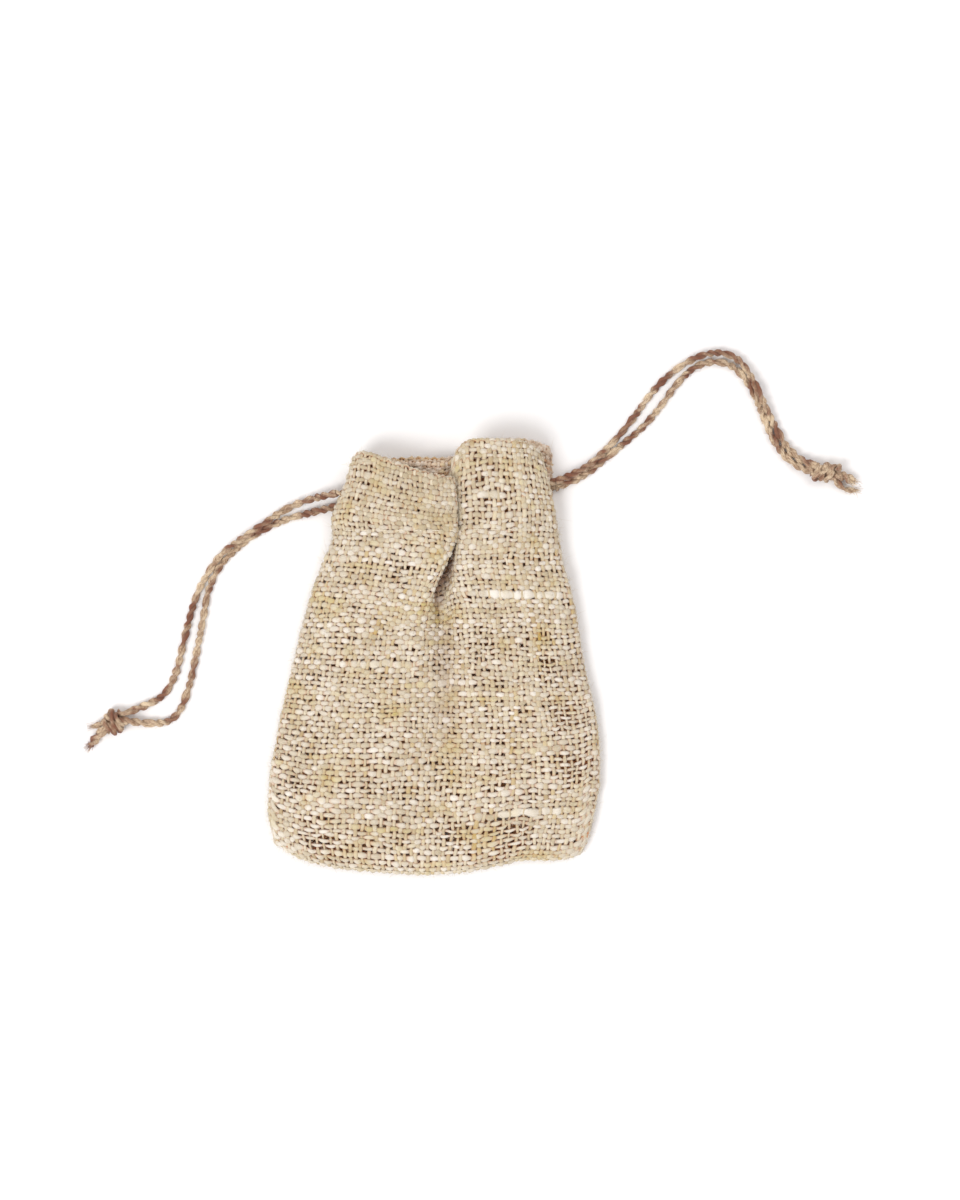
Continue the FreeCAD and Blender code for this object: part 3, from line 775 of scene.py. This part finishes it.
def fold_painted_shade(place, share, inward):
    """Painted shade in the deep fold: 1 between the fold's two banks, 0 outside, with a painted dark line along its
    right bank and a faint painted shade down the crease below.
    """
    x, y = place[..., 0], place[..., 1]
    bank = np.interp(
        y, (10.0, 20.0, 23.0, 28.0, 33.0, 37.0, 41.0, 46.0), (-3.0, -2.0, -1.0, 1.6, 3.4, 5.6, 7.0, 7.4)
    )
    level = np.interp(y, (10.0, 22.0, 32.0, 40.0, 46.0, 57.0), (9.0, 9.5, 10.5, 11.6, 12.6, 13.0))
    under = 1 - smoothly(place[..., 2], level - 0.8, level + 0.6)
    across = smoothly(x, bank - 4.0, bank - 1.5) * (1 - smoothly(x, bank + 1.2, bank + 6.0))
    deep = across * smoothly(y, -4.0, 30.0) * (1 - smoothly(y, 40.0, 47.0)) * under
    edge = 0.8 * hump(x, 7.3, 0.8) * smoothly(y, 38.0, 43.0) * (1 - smoothly(y, 55.0, 59.0)) * under
    faint = 0.22 * hump(x, 3.5, 4.0) * smoothly(y, -45.0, -15.0) * (1 - smoothly(y, 4.0, 20.0))
    return np.maximum(np.maximum(deep, edge), faint) * (place[..., 2] > 4)


def yarns(name, weave, warp, half, rise, seed, browning=fold_painted_shade, samples=3, sides=6):
    """The parallel yarns of a plain weave, each a flattened tube that goes over and under.

    A yarn's height over the cloth is rise cos(pi s), s counting its crossings, so it is up at one
    and down at the next, and its neighbours go the other way. It is wider where it is up.
    """
    draw = np.random.default_rng(seed)
    across, along, fat = weave.across, weave.along, weave.warp_fat
    if not warp:
        across, along, fat = across.T, along.T, weave.weft_fat.T
    across, along, fat = across[1:-1], along[1:-1], fat[1:-1]
    count, nodes = across.shape
    s = np.linspace(0, nodes - 1, (nodes - 1) * samples + 1)
    joins = curve_through(np.arange(nodes), np.eye(nodes), s).T
    sign = np.where(np.arange(1, count + 1) % 2 == 0, 1.0, -1.0)[:, None] * (-1 if warp else 1)
    wave = np.cos(np.pi * s)[None, :] * sign
    wide = (fat @ joins) * (1 + (0.10 if warp else 0.17) * wave)
    place, out = weave.cloth.at(across @ joins, along @ joins)
    faced = weave.weft_faced if warp else weave.weft_faced.T
    share = 1 + (-0.35 if warp else 0.25) * (faced[1:-1] @ joins)
    slub = weave.slub.T[1:-1] @ joins if not warp else 0 * wide
    centres = place + (rise * wave * share * (0.7 + 0.3 * wide) * (1 - 0.6 * slub))[..., None] * out
    ahead = unit(np.gradient(centres, axis=1))
    side = unit(np.cross(out, ahead))
    up = np.cross(ahead, side)
    points = tube_points(centres, side, up, half[0] * wide, half[1] * (0.45 + 0.55 * wide), sides)
    points[..., 2] = np.maximum(points[..., 2], TABLE_CLEAR)
    obj = mesh_object(name, points, tube_faces(count, len(s), sides))
    shape = points.shape[:3]
    bead = drift(draw, count, nodes, 0.5)
    pale = 0 if warp else weave.pale.T[1:-1]
    tone = (
        0.5 + 0.04 * draw.normal(0, 1, (count, 1)) + 0.18 * bead
        + 0.07 * drift(draw, count, nodes, 5) + pale
    )
    gold = smoothly(drift(draw, count, nodes, 3) + 0.6 * bead, 1.1, 2.4)
    angle = np.arange(sides) * 2 * np.pi / sides
    u, v = across @ joins, along @ joins
    rim = 1 - smoothly(np.minimum(np.minimum(u, 1 - u), 1.5 * v), 0.004, 0.018)
    step = np.concatenate(
        [[0], np.cumsum(np.linalg.norm(np.diff(centres, axis=1), axis=2).mean(axis=0))]
    )
    put_attributes(
        obj,
        tone=np.broadcast_to((tone @ joins)[..., None], shape),
        gold=np.broadcast_to((gold @ joins)[..., None], shape),
        # top tells how high a point stands round its yarn and over the weave; the finish paints shade where it is
        # low, but not at the cloth's rim or on slubs.
        top=np.maximum(
            0.5 + 0.25 * wave[..., None] + 0.25 * np.sin(angle), np.maximum(rim, slub)[..., None]
        ),
        along=np.broadcast_to(step[None, :, None] / MM, shape),
        around=np.broadcast_to(np.cos(angle) * 1.2, shape),
        yarn=np.broadcast_to(draw.uniform(0, 90, (count, 1, 1)), shape),
        # fold carries painted shade, from the browning map, for the finish.
        fold=browning(points / MM, v[..., None], 0.5 - 0.5 * np.sin(angle)) * (1 - rim[..., None]),
    )
    return obj


def burlap_finish(name, pale, tan, gold, deep, painted_shade_brown, painted_shade_share=0.92):
    """Jute burlap: pale and tan yarns streaked along their fibres, golden lengths, painted brown shade on the yarns'
    sides and dips, and a second painted shade where the fold attribute asks.
    """
    finish = Finish(name, roughness=0.9, sheen=0.25)
    place = finish.add("ShaderNodeTexCoord", {}, {}).outputs["Object"]
    along, around, yarn = (finish.attribute(k) for k in ("along", "around", "yarn"))
    strand = finish.add(
        "ShaderNodeCombineXYZ",
        {},
        {0: along * 0.55, 1: around * 2.2 + along * 0.5, 2: yarn},
    )
    streak = finish.noise(strand.outputs[0], 1.6, 4.0, 0.62)
    cloud = finish.noise(place, 55.0, 3.0, 0.55)
    light = finish.attribute("tone") * 0.62 + streak * 0.55 + cloud * 0.30
    colour = finish.mix(finish.between(light, 0.42, 1.02), tan, pale)
    golden = (
        finish.attribute("gold") * 0.5
        + finish.between(finish.noise(place, 95.0, 2.0, 0.5), 0.54, 0.73) * 0.5
    )
    colour = finish.mix(golden, colour, gold)
    # Painted shade: where a point is low round its yarn or dips under its neighbours, the colour turns to the deep
    # brown.
    low = 1 - finish.between(finish.attribute("top"), 0.12, 0.80)
    colour = finish.mix(low * painted_shade_share, colour, deep)
    # Painted shade carried by the fold attribute: in the deep fold, or on the back's inner face inside the bag and
    # along its hem folds.
    colour = finish.mix(finish.attribute("fold") * 0.92, colour, painted_shade_brown)
    finish.feed(finish.shader.inputs["Base Color"], colour)
    bump = finish.add("ShaderNodeBump", {}, {"Height": streak, "Strength": 0.55, "Distance": 0.00025})
    finish.feed(finish.shader.inputs["Normal"], bump.outputs["Normal"])
    return finish.material


def front_shape():
    """The front's grid: the lofted rows, with soft hollows, and a pucker along the hem's seam."""
    grid = loft(FRONT_ROWS, BOTTOM_EDGE)
    x, y = grid[..., 0], grid[..., 1]
    body = smoothly(y, -70, -60) * (1 - smoothly(y, 26, 40))
    grid[..., 2] += body * (0.45 * ripple(x, y, 31, 5, 52.0) + 0.2 * ripple(x, y, 32, 3, 19.0))
    inside = smoothly(x, -34, -28) * (1 - smoothly(x, 33, 39))
    puckers = 1 + 0.5 * ripple(x, 0 * y, 33, 4, 14.0)
    grid[..., 2] -= inside * 0.75 * puckers * hump(y, STITCH_Y + 0.06 * x, 1.8)
    return mouth_line(grid, MOUTH_EDGE, 38.0)


def front_hang(x, share):
    """How far the front's inner hem hangs below its place, so that the cords pass over it."""
    return 5.2 * hump(share, 0.52, 0.24) * smoothly(np.abs(x - 4.0), 40.0, 16.0)


front = Cloth(with_hem(front_shape(), FRONT_HEM_DEPTH, front_hang))
front_weave = Weave(front, 11, FRONT_SLUBS, FRONT_THIN, slant=0.026)
# In each burlap finish the fourth and fifth colours are painted shade. The back cloth's finish, burlap inside, is a
# warmer copy, painted for the brownish shade inside the bag.
burlap_weft = burlap_finish(
    "burlap weft", rgb("EAE4D9"), rgb("BDAE90"), rgb("C4B066"), rgb("CE7A32"), rgb("7E4A1E")
)
burlap_warp = burlap_finish(
    "burlap warp", rgb("E1D7BF"), rgb("B6A17C"), rgb("BC9C50"), rgb("C4722C"), rgb("7E4A1E")
)
burlap_inner = burlap_finish(
    "burlap inside", rgb("EADCCB"), rgb("C0A68A"), rgb("C8AA66"), rgb("DF9A56"), rgb("BC8450")
)
front_weft = yarns("front_weft", front_weave, False, WEFT_HALF, WEFT_RISE, 1000)
front_warp = yarns("front_warp", front_weave, True, WARP_HALF, WARP_RISE, 2000)


# The middles of the two side slits, and how far round them no stray fibres stand, in mm
SLITS = [(-33.0, 52.8), (38.0, 57.0)]
SLIT_CLEAR = 9.0


def cloth_fibres(name, cloth, count, seed, lowest=0.0, highest=1.0):
    """Stray fibres standing off the cloth, more of them near its edges, each bent its own way.

    None stand round the slits, so that the drawstrings slide out clear of them.
    """
    draw = np.random.default_rng(seed)
    across = draw.beta(0.75, 0.75, count)
    along = draw.uniform(lowest, highest, count)
    place, out = cloth.at(across, along)
    away = [np.hypot(place[:, 0] / MM - x, place[:, 1] / MM - y) for x, y in SLITS]
    kept = np.min(away, axis=0) > SLIT_CLEAR
    place, out, count = place[kept], out[kept], int(kept.sum())
    turn = draw.uniform(0, 2 * np.pi, count)
    beside = unit(np.cross(out, np.broadcast_to((0.0, 1.0, 0.0), out.shape)))
    ahead = np.cos(turn)[:, None] * beside + np.sin(turn)[:, None] * np.cross(out, beside)
    points = hairs(place + out * 0.50 * MM, out * 0.45, ahead, seed + 1, FIBRE_LONG, 0.45, FIBRE_R)
    obj = mesh_object(name, points, tube_faces(count, points.shape[1], 3))
    each = np.repeat(np.arange(count), points[0].size // 3)
    put_attributes(
        obj,
        tone=draw.uniform(0.2, 1.1, count)[each],
        gold=(draw.uniform(0, 1, count) ** 3)[each],
        top=np.ones(len(each)),
        along=each * 0.7,
        around=each * 0.0,
        yarn=draw.uniform(0, 90, count)[each],
    )
    return obj


front_fibres = cloth_fibres("front_fibres", front, 7000, 51, 0.0, 0.85)
for piece, finish in ((front_weft, burlap_weft), (front_warp, burlap_warp), (front_fibres, burlap_weft)):
    piece.data.materials.append(finish)
    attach(piece, "pouch")
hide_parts("front_panel", "front_casing")

# ---------------------------------------------------------------------------------------------
# The back cloth. The same burlap, flat on the table, sewn to the front along its sides and
# bottom, and hemmed at the mouth in the same way. Its hem is crumpled in small level folds.

BACK_Z = 0.80
BACK_HEM_DEPTH = 25.0
BACK_MOUTH = [(0.0, 59.0), (0.08, 62.5), (0.2, 65.0), (0.33, 65.6), (0.48, 65.7), (0.55, 67.0), (0.64, 71.2),
              (0.72, 71.9), (0.86, 71.8), (0.93, 70.6), (0.975, 69.2), (1.0, 67.0)]
BACK_INSET = 0.4
BACK_LIFT = 4.5
BACK_TUCK = 0.6


def back_row(left, right):
    """A row that lies on the table between two side seams and turns up to meet the front."""
    left, right = left + BACK_INSET, right - BACK_INSET
    width = right - left
    inner = [(left + width * part, BACK_Z) for part in (0.03, 0.25, 0.5, 0.75, 0.97)]
    return [(left, 1.75), (left + 0.8, 1.0), *inner, (right - 0.8, 1.0), (right, 1.75)]


BACK_ROWS = {y: back_row(row[0][0], row[-1][0]) for y, row in FRONT_ROWS.items()}
BACK_ROWS[57.0] = back_row(-31.0, 39.2)
BACK_ROWS[66.0] = back_row(-29.0, 39.2)
BACK_BOTTOM = [(x, y + BACK_INSET) for x, y in BOTTOM_EDGE]


def back_hang(x, share):
    """How far the back's inner hem stands above its place: over the cords, and in level folds."""
    cords = 1.9 * hump(share, 0.52, 0.26) + 3.0 * hump(x, -1.0, 9.0) * (1 - smoothly(share, 0.15, 0.5))
    folds = 0.75 * np.sin(2 * np.pi * share * 9.0 + 0.5 * ripple(x, 0 * x, 34, 3, 40.0))
    return cords + folds * smoothly(share, 0.0, 0.05) * (1 - smoothly(share, 0.26, 0.4)) + 0.5


def inside_painted_shade(place, share, inward):
    """Painted shade on the back: its inner face browned as if in the shade of the bag, and painted shadow lines along
    level folds in its hem.
    """
    x, y = place[..., 0], place[..., 1]
    middle = (
        (1 - smoothly(np.abs(x), 36.0, 46.0))
        * smoothly(y, -68.0, -58.0)
        * (1 - smoothly(y, 50.0, 62.0))
    )
    lines = hump(share, 0.865, 0.004) + hump(share, 0.884, 0.004)
    return 0.9 * inward * middle * (share < OUTER_TO) + 0.7 * lines


back_grid = mouth_line(loft(BACK_ROWS, BACK_BOTTOM), BACK_MOUTH, 38.0)
back_x, back_y = back_grid[..., 0], back_grid[..., 1]
back_grid[..., 2] += BACK_LIFT * hump(back_x, -1.0, 9.0) * smoothly(back_y, 50.0, 66.0)
back_grid[..., 2] += BACK_TUCK * np.exp(-(back_y - back_y[:1]) / 1.6)
back = Cloth(with_hem(back_grid, BACK_HEM_DEPTH, back_hang, -1.0), -1.0)
back_weave = Weave(back, 61)
# Painted light: the back's hem between the lobes is made paler, as if lit, where the lobes shade it.
back_weave.pale = back_weave.pale + 0.7 * hump(back_weave.across, 0.42, 0.12) * smoothly(
    back_weave.along, 0.80, 0.85
)
back_weft = yarns("back_weft", back_weave, False, WEFT_HALF, WEFT_RISE, 3000, inside_painted_shade)
back_warp = yarns("back_warp", back_weave, True, WARP_HALF, WARP_RISE, 4000, inside_painted_shade)
back_fibres = cloth_fibres("back_fibres", back, 900, 71, 0.0, 0.95)
for piece, finish in ((back_weft, burlap_inner), (back_warp, burlap_inner), (back_fibres, burlap_weft)):
    piece.data.materials.append(finish)
    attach(piece, "pouch")
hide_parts("back_panel", "back_casing")

# ---------------------------------------------------------------------------------------------
# The seam allowances. Inside the bag a narrow strip of cloth stands in from each seam,
# for the allowances of both cloths left over from sewing it inside out.

ALLOWANCE = 6.0
ALLOWANCE_IN = 1.3
ALLOWANCE_PITCH = 1.75
SEAM_RISE = 0.9


def strip(line, inward, seed, name):
    """A strip of cloth along a seam: one small weave, three warps wide, that stands in from the seam and rises a
    little.
    """
    line = np.asarray(line, float) + ALLOWANCE_IN * np.asarray(inward, float)
    share = np.linspace(0, 1, 24)[None, :, None]
    rise = np.array((0.0, 0.0, 1.0))
    reach = ALLOWANCE * unit(inward)[:, None, :] * share
    grid = line[:, None, :] + reach + rise * (
        0.9 * share + 0.35 * np.sin(np.arange(len(line)) / 9)[:, None, None]
    )
    cloth = Cloth(grid)
    weave = Weave(cloth, seed, warps=3, wefts=int(cloth.length / ALLOWANCE_PITCH))
    pieces = [
        yarns(name + "_weft", weave, False, WEFT_HALF, WEFT_RISE, seed + 5),
        yarns(name + "_warp", weave, True, WARP_HALF, WARP_RISE, seed + 6),
    ]
    for piece, finish in zip(pieces, (burlap_weft, burlap_warp)):
        piece.data.materials.append(finish)
        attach(piece, "pouch")
    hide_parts(name)


front_edge = front.grid[:, [0, -1]] / MM
sewn = (front_edge[:, 0, 1] < STITCH_Y) & (np.arange(len(front_edge)) < 200)
seam_level = np.array((0.0, 0.0, SEAM_RISE))
left_line = front_edge[sewn, 0] + seam_level
right_line = front_edge[sewn, 1] + seam_level
bottom_line = front.grid[0, ::2] / MM + seam_level
strip(left_line, np.broadcast_to((1.0, 0.0, 0.0), left_line.shape), 81, "left_seam_allowance")
strip(right_line, np.broadcast_to((-1.0, 0.0, 0.0), right_line.shape), 84, "right_seam_allowance")
strip(bottom_line, np.broadcast_to((0.0, 1.0, 0.0), bottom_line.shape), 87, "bottom_seam_allowance")

# ---------------------------------------------------------------------------------------------
# The sewing. Cotton thread, in running stitches: along each side and the bottom just inside the
# seam, and across each cloth along the foot of its hem.

THREAD_R = 0.17
STITCH = 3.0
THREAD_SIDES = 8
CASING_DEEP = 0.75
SEAM_DEEP = 0.6


def running_stitch(name, line, out, deep, node):
    """Thread that runs over and under a cloth: line + deep tanh(3 sin(pi s / stitch)) out."""
    line, s = evenly(np.asarray(line, float), 0.3)
    over = deep * np.tanh(3 * np.sin(np.pi * s / STITCH))
    centres = line + over[:, None] * np.asarray(out, float)
    centres[:, 2] = np.maximum(centres[:, 2], THREAD_R + 0.05)
    _, side, up = frame_along(centres)
    thick = np.full(len(centres), THREAD_R)
    points = tube_points(centres, side, up, thick, thick, THREAD_SIDES) * MM
    obj = mesh_object(name, points, tube_faces(1, len(centres), THREAD_SIDES))
    obj.data.materials.append(thread)
    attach(obj, "pouch")
    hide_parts(node)


def thread_finish():
    """Cream cotton thread with a fine diagonal twist."""
    finish = Finish("cotton thread", roughness=0.7, sheen=0.1)
    place = finish.add("ShaderNodeTexCoord", {}, {}).outputs["Object"]
    wave = finish.add("ShaderNodeTexWave", {"bands_direction": "DIAGONAL"}, {"Vector": place, "Scale": 900.0})
    twist = Value(finish, wave.outputs["Fac"])
    finish.feed(finish.shader.inputs["Base Color"], finish.mix(twist, rgb("D9CBB0"), rgb("EFE6D4")))
    bump = finish.add("ShaderNodeBump", {}, {"Height": twist, "Strength": 0.4, "Distance": 0.0001})
    finish.feed(finish.shader.inputs["Normal"], bump.outputs["Normal"])
    return finish.material


thread = thread_finish()
up_way = (0.0, 0.0, 1.0)
for name, cloth in (("front_casing_stitch", front), ("back_casing_stitch", back)):
    rows = np.argmin(np.abs(cloth.grid[:230, :, 1] / MM - STITCH_Y), axis=0)
    middle = cloth.grid[rows, np.arange(cloth.grid.shape[1])][8:-8] / MM
    running_stitch(name + "_thread", middle, up_way, CASING_DEEP, name)
for name, line, way in (
    ("left_seam_stitch", left_line, (0.8, 0.0, 0.0)),
    ("right_seam_stitch", right_line, (-0.8, 0.0, 0.0)),
    ("bottom_seam_stitch", bottom_line, (0.0, 0.8, 0.0)),
):
    running_stitch(name + "_thread", np.asarray(line) + way, up_way, SEAM_DEEP, name)

# ---------------------------------------------------------------------------------------------
# The hidden cord. Each drawstring goes in at its slit, along the front hem, round the far side
# and back along the back hem. Just inside the slit it lies straight, so that it can be pulled out.

LOOPS = {
    "left": [(-33.0, 54.9, 5.0), (-26.0, 54.95, 5.05), (-18.0, 54.85, 5.0), (-10.0, 54.9, 5.2), (-2.0, 55.2, 6.6),
             (8.0, 55.0, 7.0), (18.0, 54.8, 6.8), (27.6, 54.3, 5.6), (33.8, 53.2, 4.4), (34.4, 51.8, 2.9),
             (27.0, 50.9, 2.2), (12.0, 51.2, 2.2), (-4.0, 50.9, 2.2), (-19.0, 51.1, 2.2), (-27.0, 50.6, 2.2),
             (-33.0, 50.7, 2.2)],
    "right": [(40.0, 58.9, 5.0), (33.0, 57.45, 5.05), (26.0, 55.9, 5.0), (18.5, 54.35, 5.0), (10.0, 55.6, 6.4),
              (0.0, 57.2, 7.0), (-9.0, 58.1, 6.6), (-18.4, 58.6, 5.4), (-23.4, 58.2, 4.2), (-23.6, 57.2, 2.9),
              (-17.0, 56.5, 2.2), (-2.0, 56.8, 2.2), (12.0, 56.5, 2.2), (26.0, 56.4, 2.2), (34.0, 55.9, 2.2),
              (40.0, 56.9, 2.2)],
}
for seed, (side, route) in enumerate(LOOPS.items()):
    loop, _ = twisted_cord(side + "_loop_jute", [spline_points(side + "_loop", route)], 600 + 40 * seed)
    loop.data.materials.append(jute)
    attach(loop, side + "_drawstring")
    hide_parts(side + "_cord_loop")

# ---------------------------------------------------------------------------------------------
# Light: a bright, even sky, a large soft lamp beyond the bag's lower left corner, and a weaker
# one across from it.

SKY = (1.0, 0.957, 0.95, 1.0)
SKY_STRENGTH = 0.72

world = bpy.data.worlds.new("studio")
world.use_nodes = True
world.node_tree.nodes["Background"].inputs["Color"].default_value = SKY
world.node_tree.nodes["Background"].inputs["Strength"].default_value = SKY_STRENGTH
bpy.context.scene.world = world


def lamp(name, place, aim, power, size):
    """A square soft lamp at a place, turned to face another."""
    data = bpy.data.lights.new(name, "AREA")
    data.energy, data.size = power, size
    obj = bpy.data.objects.new(name, data)
    obj.location = place
    way = np.array(aim) - np.array(place)
    way = way / np.linalg.norm(way)
    obj.rotation_euler = (np.arccos(-way[2]), 0.0, np.arctan2(way[1], way[0]) - np.pi / 2)
    bpy.context.scene.collection.objects.link(obj)


lamp("key", (-0.75, -0.55, 1.25), (0.0, 0.0, 0.0), 13.5, 0.7)
lamp("fill", (0.7, 0.6, 1.1), (0.0, 0.0, 0.0), 4.0, 0.9)
bpy.context.scene.view_settings.view_transform = "Standard"
